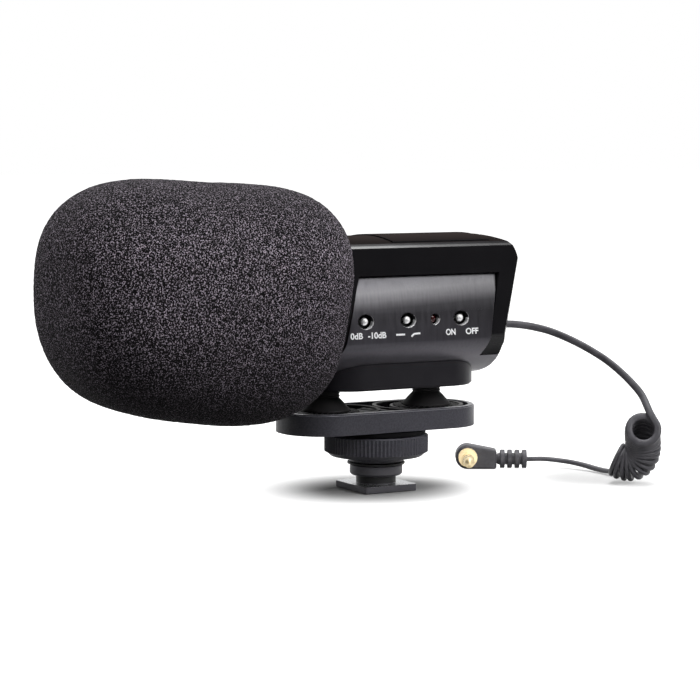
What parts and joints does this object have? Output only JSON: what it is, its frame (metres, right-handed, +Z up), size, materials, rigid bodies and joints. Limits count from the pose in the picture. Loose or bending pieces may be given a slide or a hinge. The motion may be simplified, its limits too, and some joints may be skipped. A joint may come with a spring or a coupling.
{
  "type": "on camera microphone",
  "caption": "Stereo microphone for a camera shoe: foam covered head, switched body on rubber mounts over a clamping foot, curly lead with an angled plug.",
  "frame": {"origin": "middle of the shoe foot's underside, on the floor", "axes": "+Z up along the stud, -Y where the head points, +X the side with the switches; the lead leaves the back at +Y"},
  "size_m": [0.0751, 0.1896, 0.0936],
  "materials": {
    "shoe_steel": "dark satin coating",
    "bare_steel": "bare, lightly brushed",
    "slate_paint": "satin slate grey paint",
    "black_plastic": "moulded, satin",
    "black_rubber": "moulded, dull",
    "saddle_alloy": "dark satin coating",
    "panel_alloy": "satin grey coating with a faint upright grain",
    "frame_alloy": "gloss black coating",
    "cell_can": "printed sleeve on a steel can",
    "board_green": "solder mask",
    "lever_chrome": "polished",
    "red_lens": "clear red moulding",
    "capsule_can": "bare, turned",
    "foam_cloth": "open cell foam with a fine nap",
    "cord_jacket": "smooth, dull grey",
    "gold_plate": "polished gold plating"
  },
  "bodies": {
    "base": {"shoe_foot": "shoe_steel", "base_boss": "black_plastic", "base_tray": "slate_paint", "stud_nut": "bare_steel", "mount_carrier_front": "black_plastic", "mount_carrier_rear": "black_plastic", "rubber_mount_front": "black_rubber", "rubber_mount_rear": "black_rubber", "cord_lead": "cord_jacket", "cord_coil": "cord_jacket", "cord_tail": "cord_jacket", "plug_housing": "cord_jacket", "plug_strain_relief": "cord_jacket", "jack_collar": "gold_plate", "jack_sleeve": "gold_plate", "jack_insulator_rear": "black_plastic", "jack_ring": "gold_plate", "jack_insulator_front": "black_plastic", "jack_tip": "gold_plate"},
    "clamp": {"clamp_collar": "shoe_steel", "clamp_washer": "bare_steel"},
    "ring": {"lock_ring": "slate_paint"},
    "mic_body": {"saddle": "saddle_alloy", "mount_screw_front": "bare_steel", "mount_screw_rear": "bare_steel", "tie_screw_front": "bare_steel", "tie_screw_rear": "bare_steel", "lower_shell": "panel_alloy", "upper_shell": "frame_alloy", "door_pin": "bare_steel", "battery_cell_left": "cell_can", "battery_cell_right": "cell_can", "battery_cradle": "black_plastic", "battery_contact_front": "bare_steel", "battery_contact_rear": "bare_steel", "board_screw_front": "bare_steel", "board_screw_rear": "bare_steel", "circuit_board": "board_green", "switch_body_pad": "black_plastic", "switch_body_filter": "black_plastic", "switch_body_power": "black_plastic", "power_light": "red_lens", "head_collar": "black_plastic", "head_basket": "black_plastic", "capsule_bracket": "black_plastic", "capsule_left": "capsule_can", "capsule_right": "capsule_can", "capsule_boot_left": "black_rubber", "capsule_boot_right": "black_rubber", "cord_gland": "black_rubber"},
    "windscreen": {"foam_windscreen": "foam_cloth"},
    "lever_pad": {"switch_lever_pad": "lever_chrome"},
    "lever_filter": {"switch_lever_filter": "lever_chrome"},
    "lever_power": {"switch_lever_power": "lever_chrome"},
    "door": {"battery_door": "frame_alloy"}
  },
  "joints": [
    {"name": "clamp_slide", "type": "slide", "parent": "base", "child": "clamp", "axis": [0, 0, -1], "range_m": [0, 0.0018]},
    {"name": "ring_turn", "type": "hinge", "parent": "clamp", "child": "ring", "pos_m": [0, 0, 0.012], "axis": [0, 0, -1], "range_deg": [0, 510]},
    {"name": "suspension", "type": "slide", "parent": "base", "child": "mic_body", "axis": [0, 0, 1], "range_m": [-0.001, 0.001], "stiffness_N_per_m": 1500, "springref_m": 0.00123, "deforming": ["rubber_mount_front", "rubber_mount_rear"]},
    {"name": "windscreen_slide", "type": "slide", "parent": "mic_body", "child": "windscreen", "axis": [0, -1, 0], "range_m": [0, 0.095]},
    {"name": "pad_switch", "type": "hinge", "parent": "mic_body", "child": "lever_pad", "pos_m": [0.012, -0.0139, 0.0526], "axis": [0, 0, 1], "range_deg": [0, 14]},
    {"name": "filter_switch", "type": "hinge", "parent": "mic_body", "child": "lever_filter", "pos_m": [0.012, 0.00065, 0.0526], "axis": [0, 0, 1], "range_deg": [0, 14]},
    {"name": "power_switch", "type": "hinge", "parent": "mic_body", "child": "lever_power", "pos_m": [0.012, 0.01925, 0.0526], "axis": [0, 0, 1], "range_deg": [0, 14]},
    {"name": "door_hinge", "type": "hinge", "parent": "mic_body", "child": "door", "pos_m": [0, 0.0328, 0.0756], "axis": [-1, 0, 0], "range_deg": [0, 95]}
  ],
  "couplings": [
    {"joint": "clamp_slide", "follows": "ring_turn", "m_per_rad": 0.000202}
  ]
}
